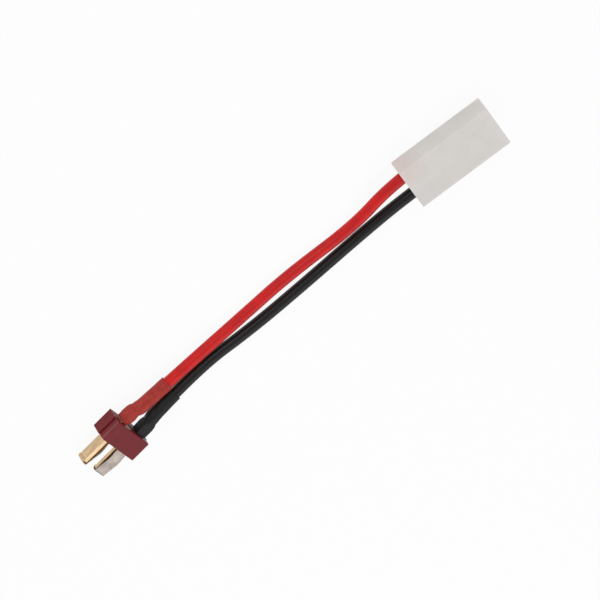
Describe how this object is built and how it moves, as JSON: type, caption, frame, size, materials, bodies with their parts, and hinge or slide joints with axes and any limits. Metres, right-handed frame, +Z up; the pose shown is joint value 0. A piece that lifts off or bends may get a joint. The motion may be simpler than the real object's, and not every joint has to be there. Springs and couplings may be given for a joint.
{
  "type": "battery adapter cable",
  "caption": "Short two-lead battery adapter cable with a flat-blade T plug at one end and a two-way box receptacle with pin contacts at the other.",
  "frame": {"origin": "on the table, under the middle of the box round the plug and the receptacle", "axes": "+X from the receptacle's end to the plug's end of the cable, +Y across it towards the black lead's side, +Z up from the table that the cable lies on"},
  "size_m": [0.1676, 0.0298, 0.0087],
  "materials": {
    "red_nylon": "moulded nylon, satin",
    "gold_plate": "gold flash over copper alloy, bright",
    "spring_metal": "rolled spring strip, satin",
    "solder": "tin solder, bright and lumpy",
    "tinned_copper": "fine stranded copper soaked in solder",
    "red_shrink": "shrink sleeve, satin",
    "black_shrink": "shrink sleeve, satin",
    "red_silicone": "silicone rubber, satin",
    "black_silicone": "silicone rubber, satin",
    "tin_plate": "bright tin plate",
    "natural_nylon": "natural nylon, milky, satin"
  },
  "bodies": {
    "cable": {"plug_body": "red_nylon", "positive_blade": "gold_plate", "negative_blade": "gold_plate", "positive_solder_joint": "solder", "negative_solder_joint": "solder", "red_strands_at_plug": "tinned_copper", "black_strands_at_plug": "tinned_copper", "red_heat_shrink": "red_shrink", "black_heat_shrink": "black_shrink", "red_wire": "red_silicone", "black_wire": "black_silicone", "red_strands_in_crimp": "tinned_copper", "black_strands_in_crimp": "tinned_copper", "positive_terminal": "tin_plate", "negative_terminal": "tin_plate", "receptacle_housing": "natural_nylon"},
    "positive_leaf": {"positive_spring_leaf": "spring_metal"},
    "negative_leaf": {"negative_spring_leaf": "spring_metal"}
  },
  "joints": [
    {"name": "positive_leaf_flex", "type": "hinge", "parent": "cable", "child": "positive_leaf", "pos_m": [0.08268, 0.00475, 0.00395], "axis": [0, 0, 1], "range_deg": [0, 2.5], "stiffness_Nm_per_rad": 0.1},
    {"name": "negative_leaf_flex", "type": "hinge", "parent": "cable", "child": "negative_leaf", "pos_m": [0.08123, 0.01256, 0.00395], "axis": [0.1822, -0.9833, 0], "range_deg": [0, 2.5], "stiffness_Nm_per_rad": 0.1}
  ]
}
